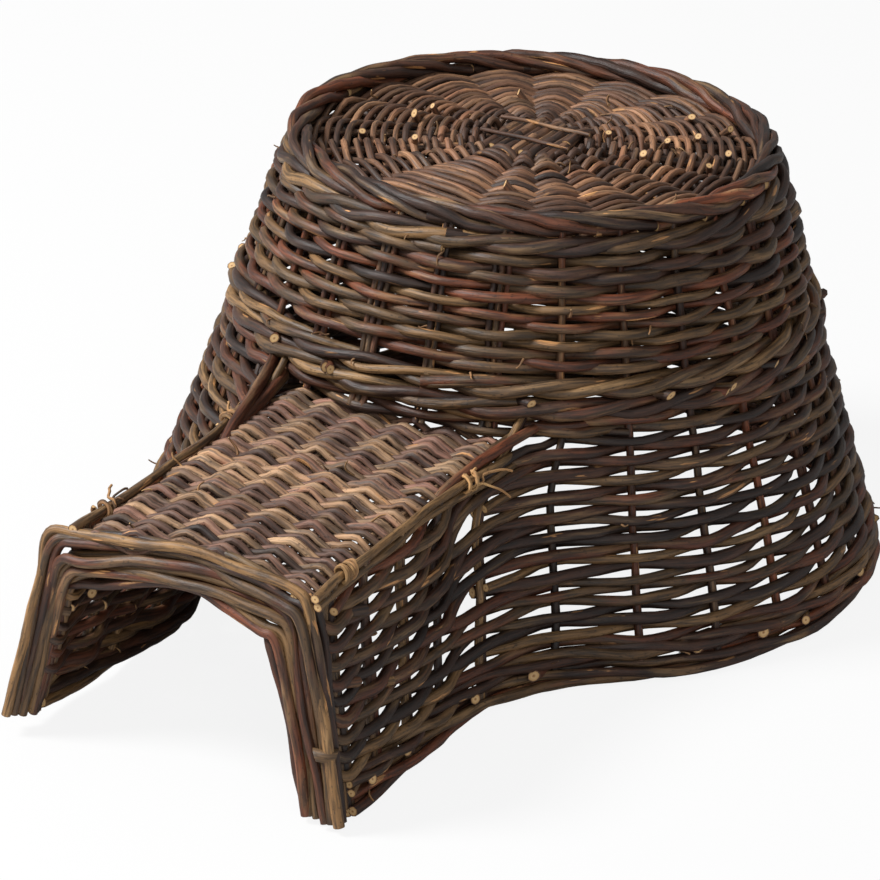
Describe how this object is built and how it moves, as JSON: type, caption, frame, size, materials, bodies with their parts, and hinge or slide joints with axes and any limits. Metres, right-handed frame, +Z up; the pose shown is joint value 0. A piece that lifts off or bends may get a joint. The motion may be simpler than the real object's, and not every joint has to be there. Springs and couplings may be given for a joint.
{
  "type": "hedgehog house",
  "caption": "Woven willow hedgehog house: an upturned basket dome, open underneath, with a low woven tunnel as its way in.",
  "frame": {"origin": "middle of the bounding box of the footprint, on the floor plane that the rim border rests on", "axes": "+Z up; the tunnel's mouth faces -Y; +X is to the right of someone who looks into the mouth"},
  "size_m": [0.4148, 0.5834, 0.24],
  "materials": {
    "bark_umber": "satin",
    "bark_russet": "satin",
    "bark_olive": "satin",
    "bark_tan": "matt"
  },
  "bodies": {
    "root": {"binding_rod_back": "bark_tan", "binding_rod_front": "bark_tan", "lashing_left_dome": "bark_tan", "lashing_left_mouth": "bark_tan", "lashing_right_dome": "bark_tan", "lashing_right_mouth": "bark_tan", "lintel_weave": "bark_umber", "mouth_rod_1": "bark_russet", "mouth_rod_2": "bark_umber", "mouth_rod_3": "bark_russet", "mouth_rod_4": "bark_umber", "mouth_rod_5": "bark_russet", "rim_border": "bark_russet", "roof_weaver_1": "bark_olive", "roof_weaver_2": "bark_olive", "skirt_weave_1": "bark_umber", "skirt_weave_2": "bark_olive", "skirt_weave_3": "bark_umber", "skirt_weave_4": "bark_olive", "skirt_weave_5": "bark_umber", "slath_stick_1": "bark_russet", "slath_stick_10": "bark_russet", "slath_stick_2": "bark_russet", "slath_stick_3": "bark_russet", "slath_stick_4": "bark_russet", "slath_stick_5": "bark_russet", "slath_stick_6": "bark_russet", "slath_stick_7": "bark_russet", "slath_stick_8": "bark_russet", "slath_stick_9": "bark_russet", "stake_group_1": "bark_russet", "stake_group_2": "bark_umber", "stake_group_3": "bark_russet", "stake_group_4": "bark_umber", "stake_group_5": "bark_russet", "stake_group_6": "bark_umber", "stake_group_7": "bark_russet", "stake_group_8": "bark_umber", "stake_group_9": "bark_russet", "tunnel_frame_left": "bark_umber", "tunnel_frame_right": "bark_umber", "tunnel_roof_mat": "bark_tan", "tunnel_roof_stick_1": "bark_olive", "tunnel_roof_stick_2": "bark_olive", "tunnel_roof_stick_3": "bark_olive", "tunnel_roof_stick_4": "bark_olive", "tunnel_roof_stick_5": "bark_olive", "tunnel_roof_stick_6": "bark_olive", "waist_wale": "bark_umber", "wall_weave_1": "bark_umber", "wall_weave_2": "bark_olive", "wall_weave_3": "bark_umber", "wall_weave_4": "bark_olive", "wall_weave_5": "bark_umber", "wall_weave_6": "bark_olive", "wall_weave_7": "bark_umber", "wall_weave_8": "bark_olive", "wall_weave_9": "bark_umber"}
  },
  "joints": []
}
